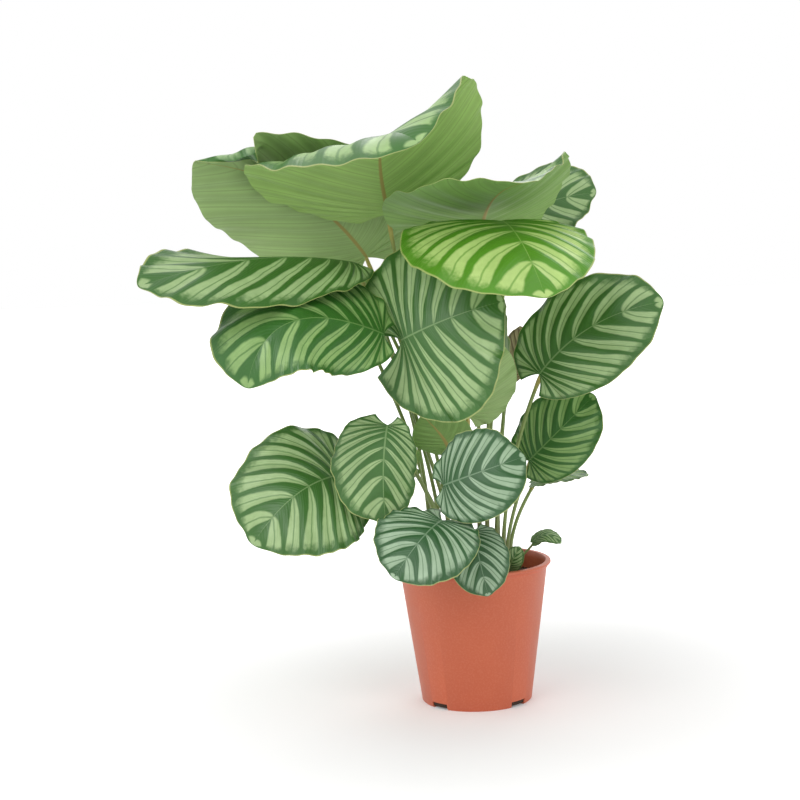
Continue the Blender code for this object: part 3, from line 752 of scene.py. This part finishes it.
def blade_sheets(name, leaf, number, veins, outs):
    """Grids of the upper and lower surface, with pleats, waves, any roll and the midrib."""
    grid = fitted(blade_grid(leaf, veins, outs), f"{name}_blade")
    normal = upper_normals(grid)
    size = min(1.0, leaf["width"] / FULL_WIDTH)
    vein, out = np.broadcast_arrays(veins[:, None], outs[None, :])
    away = np.abs(out)
    ends = np.clip(vein * 8, 0, 1) * np.clip((1 - vein) * 10, 0, 1)
    across = np.sin(math.pi * np.clip(away, 0, 1))
    pleat = PLEAT * size * np.cos(2 * math.pi * BANDS * vein) * across * ends
    height = CALM_EDGES.get(name, EDGE_WAVE) * size
    wave = height * away**3 * ends * margin_wave(number, vein, out)
    grid = grid + normal * (pleat + wave)[..., None]
    if name in ROLLS:
        grid = rolled(grid, normal, veins, outs, *ROLLS[name])
        normal = upper_normals(grid)
    rib = RIB_HEIGHT * size * (1 - 0.8 * vein) * np.exp(-((away / RIB_SPREAD) ** 2))
    upper = grid + normal * BLADE_THICKNESS / 2
    lower = grid - normal * (BLADE_THICKNESS / 2 + rib)[..., None]
    return upper, lower


def blade_points(leaf, sheets, veins, outs):
    """Points of both sheets, with one point for the tip, and the attributes at each."""
    rows, columns = len(veins), len(outs)
    points, keys = [], {"vein": [], "out": [], "rib": []}
    index = np.zeros((2, rows, columns), int)
    for layer, sheet in enumerate(sheets):
        for row in range(rows):
            tip = row == rows - 1
            for column in range(columns):
                if tip and column:
                    index[layer, row, column] = index[layer, row, 0]
                    continue
                away = abs(outs[column])
                index[layer, row, column] = len(points)
                points.append(sheet[row].mean(axis=0) if tip else sheet[row, column])
                keys["vein"].append(veins[row])
                keys["out"].append(1.0 if tip else away)
                keys["rib"].append(0.0 if tip else away * leaf["width"] / 2)
    return points, keys, index


def blade_faces(index):
    """Faces of both sheets and the edge between them, with the material of each."""
    faces, kinds = [], []

    def add(kind, *corners):
        ring = tuple(dict.fromkeys(int(corner) for corner in corners))
        if len(ring) > 2:
            faces.append(ring)
            kinds.append(kind)

    top, under = index
    rows, columns = top.shape
    last = columns - 1
    for row in range(rows - 1):
        for column in range(last):
            add(UPPER, top[row, column], top[row, column + 1],
                top[row + 1, column + 1], top[row + 1, column])
            add(UNDER, under[row, column], under[row + 1, column],
                under[row + 1, column + 1], under[row, column + 1])
        add(UPPER, top[row, 0], top[row + 1, 0], under[row + 1, 0], under[row, 0])
        add(UPPER, top[row, last], under[row, last], under[row + 1, last], top[row + 1, last])
    for column in range(last):
        add(UPPER, top[0, column], under[0, column], under[0, column + 1], top[0, column + 1])
    return faces, kinds


def make_blade(name, leaf, number, surfaces):
    """A pleated, wavy-edged blade with its ribbed underside."""
    veins = np.linspace(0, 1, BLADE_ROWS)
    half = np.concatenate([[0], RIB_COLUMNS, np.linspace(0.08, 1, BLADE_COLUMNS)])
    outs = np.concatenate([-half[:0:-1], half])
    sheets = blade_sheets(name, leaf, number, veins, outs)
    points, keys, index = blade_points(leaf, sheets, veins, outs)
    faces, kinds = blade_faces(index)
    made = new_mesh(f"{name}_leaf", points, faces, surfaces, keys, kinds)
    face_out(made)
    return made


def make_stalk(name, leaf, surface):
    """A round stalk with a sheathing foot and a swelling just under its blade."""
    path, radii = petiole_path(leaf)
    share = np.linspace(0, 1, len(path))
    radii = radii * (1 + SWELL * np.exp(-(((share - SWELL_PLACE) / SWELL_SPREAD) ** 2)))
    directions = unit(np.gradient(path, axis=0))
    reference = np.array((0.0, 1.0, 0.0))
    points, along = [], []
    for centre, direction, radius, part in zip(path, directions, radii, share):
        reference = unit(reference - (reference @ direction) * direction)
        other = np.cross(direction, reference)
        for side in range(STALK_SIDES):
            angle = 2 * math.pi * side / STALK_SIDES
            points.append(centre + radius * (math.cos(angle) * reference + math.sin(angle) * other))
            along.append(part)
    faces = [tuple(range(STALK_SIDES))]
    for ring in range(len(path) - 1):
        for side in range(STALK_SIDES):
            after = (side + 1) % STALK_SIDES
            low, high = ring * STALK_SIDES, (ring + 1) * STALK_SIDES
            faces.append((low + side, low + after, high + after, high + side))
    top = (len(path) - 1) * STALK_SIDES
    faces.append(tuple(range(top, top + STALK_SIDES)))
    made = new_mesh(f"{name}_stalk", points, faces, [surface], {"along": along})
    face_out(made)
    return made


def pot_cutters(surface):
    """Blocks for the slots in the pot's foot, and rods for its drain holes."""
    cutters = []
    rod = [(0, -CUTTER_DEPTH), (DRAIN_RADIUS, -CUTTER_DEPTH), (DRAIN_RADIUS, CUTTER_DEPTH),
           (0, CUTTER_DEPTH)]
    for number in range(NOTCH_COUNT):
        middle = NOTCH_TURN + number * 2 * math.pi / NOTCH_COUNT
        block = wedge(middle, NOTCH_WIDTH, BASE_RADIUS - NOTCH_DEPTH, BASE_RADIUS + CUTTER_REACH,
                      -CUTTER_DEPTH, NOTCH_HEIGHT)
        cutters.append(new_mesh(f"slot_{number}", *block, [surface]))
        turn = middle + math.pi / NOTCH_COUNT
        hole = new_mesh(f"hole_{number}", *turned_solid(rod, HOLE_SIDES), [surface])
        hole.location = (DRAIN_RING * math.cos(turn), DRAIN_RING * math.sin(turn), 0)
        cutters.append(hole)
    return cutters


def make_pot(surface):
    """The pot at full roundness, with its drain slots and holes cut through."""
    points, faces = turned_solid(pot_profile(), POT_SIDES)
    pot = new_mesh("nursery_pot", points, faces, [surface])
    face_out(pot)
    cutters = pot_cutters(surface)
    for cutter in cutters:
        face_out(cutter)
        modifier = pot.modifiers.new(cutter.name, "BOOLEAN")
        modifier.operation = "DIFFERENCE"
        modifier.object = cutter
    bpy.context.view_layer.update()
    graph = bpy.context.evaluated_depsgraph_get()
    shape = bpy.data.meshes.new_from_object(pot.evaluated_get(graph))
    pot.modifiers.clear()
    pot.data = shape
    shape.set_sharp_from_angle(angle=SHARP_ANGLE)
    for cutter in cutters:
        bpy.data.objects.remove(cutter)
    return pot


def circle(radius):
    """Places (across, away) round the soil plug."""
    angles = [2 * math.pi * side / SOIL_SIDES for side in range(SOIL_SIDES)]
    return [(radius * math.cos(angle), radius * math.sin(angle)) for angle in angles]


def make_soil(surface):
    """The soil plug with a lumpy top."""
    low, high = (np.array(corner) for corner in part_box("soil"))
    random = np.random.default_rng(SOIL_SEED)
    outer = high[0]
    bumps = [(random.uniform(60, 420), *random.uniform(0, 2 * math.pi, 2)) for _ in range(SOIL_BUMPS)]
    points = [(0, 0, SOIL_TOP - SOIL_SINK)]
    for radius in np.linspace(0, outer - GAP, SOIL_RINGS + 1)[1:]:
        slope = max(0.0, (radius - SOIL_FLAT_RADIUS) / (outer - SOIL_FLAT_RADIUS))
        level = SOIL_TOP - SOIL_EDGE_DROP * slope - SOIL_LEVEL
        for x, y in circle(radius):
            rough = sum(math.sin(k * (x * math.cos(a) + y * math.sin(a)) + b) for k, a, b in bumps)
            points.append((x, y, level + SOIL_LUMP * rough))
    points += [(x, y, low[2]) for x, y in circle(wall_radius(low[2]) - WALL - GAP)]

    sides = SOIL_SIDES
    faces = [(0, 1 + side, 1 + (side + 1) % sides) for side in range(sides)]
    for ring in range(SOIL_RINGS):
        inner, wider = 1 + ring * sides, 1 + (ring + 1) * sides
        for side in range(sides):
            after = (side + 1) % sides
            faces.append((inner + side, wider + side, wider + after, inner + after))
    bottom = 1 + SOIL_RINGS * sides
    faces.append(tuple(bottom + side for side in range(sides))[::-1])
    made = new_mesh("potting_soil", points, faces, [surface])
    face_out(made)
    return made


def make_crumbs(surface):
    """Loose crumbs of soil lying on the plug."""
    random = np.random.default_rng(CRUMB_SEED)
    shape = bmesh.new()
    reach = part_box("soil")[1][0] - CRUMB_EDGE
    for _ in range(CRUMBS):
        radius, angle = reach * math.sqrt(random.uniform()), random.uniform(0, 2 * math.pi)
        size = random.uniform(*CRUMB_SIZES)
        across, away = radius * math.cos(angle), radius * math.sin(angle)
        place = Matrix.Translation((across, away, SOIL_TOP - SOIL_SINK))
        stretch = Matrix.Diagonal((*random.uniform(0.7, 1.3, 3), 1))
        turn = Matrix.Rotation(angle * 3, 4, "X")
        bmesh.ops.create_icosphere(shape, subdivisions=1, radius=size, matrix=place @ turn @ stretch)
    mesh = bpy.data.meshes.new("soil_crumbs")
    shape.to_mesh(mesh)
    shape.free()
    mesh.materials.append(surface)
    return add_object("soil_crumbs", mesh)


def camera_ray_share(nodes, links):
    """1 for rays from the camera, a mirror or a clear surface, and 0 for light on the object."""
    path = nodes.new("ShaderNodeLightPath")
    seen, glossy, clear = (path.outputs[f"Is {kind} Ray"] for kind in ("Camera", "Glossy", "Transmission"))
    return math_node(nodes, links, "MAXIMUM", math_node(nodes, links, "MAXIMUM", seen, glossy), clear)


def make_floor():
    """A pale floor that keeps the shadow near the pot and is plain white farther out."""
    made, nodes, links, shader = graph_of("floor")
    shader.inputs["Base Color"].default_value = (0.86, 0.86, 0.86, 1)
    shader.inputs["Roughness"].default_value = 0.9
    shader.inputs["Emission Color"].default_value = (1, 1, 1, 1)
    place = nodes.new("ShaderNodeTexCoord")
    span = nodes.new("ShaderNodeVectorMath")
    span.operation = "LENGTH"
    links.new(place.outputs["Object"], span.inputs[0])
    spread = step_node(nodes, links, span.outputs["Value"], *GLOW_SPAN, GLOW_NEAR, 1.0)
    glow = math_node(nodes, links, "MULTIPLY", camera_ray_share(nodes, links), spread)
    links.new(glow, shader.inputs["Emission Strength"])
    half = FLOOR_SIZE / 2
    corners = [(-half, -half, 0), (half, -half, 0), (half, half, 0), (-half, half, 0)]
    floor = new_mesh("floor", corners, [(0, 1, 2, 3)], [made])
    floor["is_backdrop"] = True


def make_surround():
    """An even surround: white to the camera, softer as light on the object."""
    world = bpy.data.worlds.new("surround")
    world.use_nodes = True
    bpy.context.scene.world = world
    nodes, links = world.node_tree.nodes, world.node_tree.links
    back = nodes["Background"]
    back.inputs["Color"].default_value = (1, 1, 1, 1)
    strength = step_node(nodes, links, camera_ray_share(nodes, links), 0.0, 1.0, SURROUND_LIGHT, 1.0)
    links.new(strength, back.inputs["Strength"])


def make_lamps():
    """Three soft square lamps aimed at the middle of the plant: place, size in m, power in W."""
    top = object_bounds()[1][2]
    for name, place, size, power in (
        ("key", (-1.3, -1.7, top + 1.1), 1.6, 26),
        ("fill", (1.6, -1.8, top * 0.9), 1.8, 12),
        ("back", (0.4, 1.7, top + 1.0), 1.5, 12),
    ):
        lamp = bpy.data.lights.new(name, "AREA")
        lamp.size = size
        lamp.energy = power
        lit = add_object(name, lamp)
        lit.location = place
        aim = Vector((0, 0, top / 2)) - Vector(place)
        lit.rotation_euler = aim.to_track_quat("-Z", "Y").to_euler()


def make_camera():
    """The viewing camera: nearly level, looking a little down, tipped slightly."""
    yaw, pitch, roll = CAMERA_YAW, CAMERA_PITCH, CAMERA_ROLL
    ahead = math.cos(pitch)
    forward = Vector((-math.sin(yaw) * ahead, math.cos(yaw) * ahead, -math.sin(pitch)))
    level = Vector((math.cos(yaw), math.sin(yaw), 0))
    upright = level.cross(forward)
    right = level * math.cos(roll) - upright * math.sin(roll)
    up = level * math.sin(roll) + upright * math.cos(roll)
    data = bpy.data.cameras.new("camera")
    data.lens = LENS
    data.sensor_width = SENSOR_WIDTH
    camera = add_object("camera", data)
    turn = Matrix((right, up, -forward)).transposed().to_4x4()
    camera.matrix_world = Matrix.Translation(CAMERA_PLACE) @ turn
    bpy.context.scene.camera = camera


def attach(piece, slot, *nodes):
    """The piece rides with the pot and stands for CAD nodes, which are hidden. The slot is not used."""
    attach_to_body(piece, "root")
    if nodes:
        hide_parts(*nodes)


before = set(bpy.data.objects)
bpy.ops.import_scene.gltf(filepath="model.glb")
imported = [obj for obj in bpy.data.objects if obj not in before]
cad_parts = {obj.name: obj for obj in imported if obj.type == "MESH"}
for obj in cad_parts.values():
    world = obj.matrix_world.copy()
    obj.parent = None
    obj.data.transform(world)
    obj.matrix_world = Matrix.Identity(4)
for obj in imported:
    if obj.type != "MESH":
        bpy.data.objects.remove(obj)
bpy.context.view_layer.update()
make_camera()

plastic, earth, stalks = plastic_material(), soil_material(), stalk_material()
surfaces = {tone: [upper_material(tone), under_material(tone)] for tone in TONES}
attach(make_pot(plastic), "terracotta_plastic", "pot")
attach(make_soil(earth), "potting_soil", "soil")
attach(make_crumbs(earth), "potting_soil")
for number, (name, leaf) in enumerate(LEAVES.items()):
    tone = LEAF_TONE.get(name, "plain")
    slot = "leaf_dried" if tone == "dry" else "leaf_blade"
    attach(make_blade(name, leaf, number, surfaces[tone]), slot, f"{name}_blade")
    attach(make_stalk(name, leaf, stalks), "leaf_petiole", f"{name}_petiole")

make_floor()
make_surround()
make_lamps()
bpy.context.scene.view_settings.view_transform = "Standard"
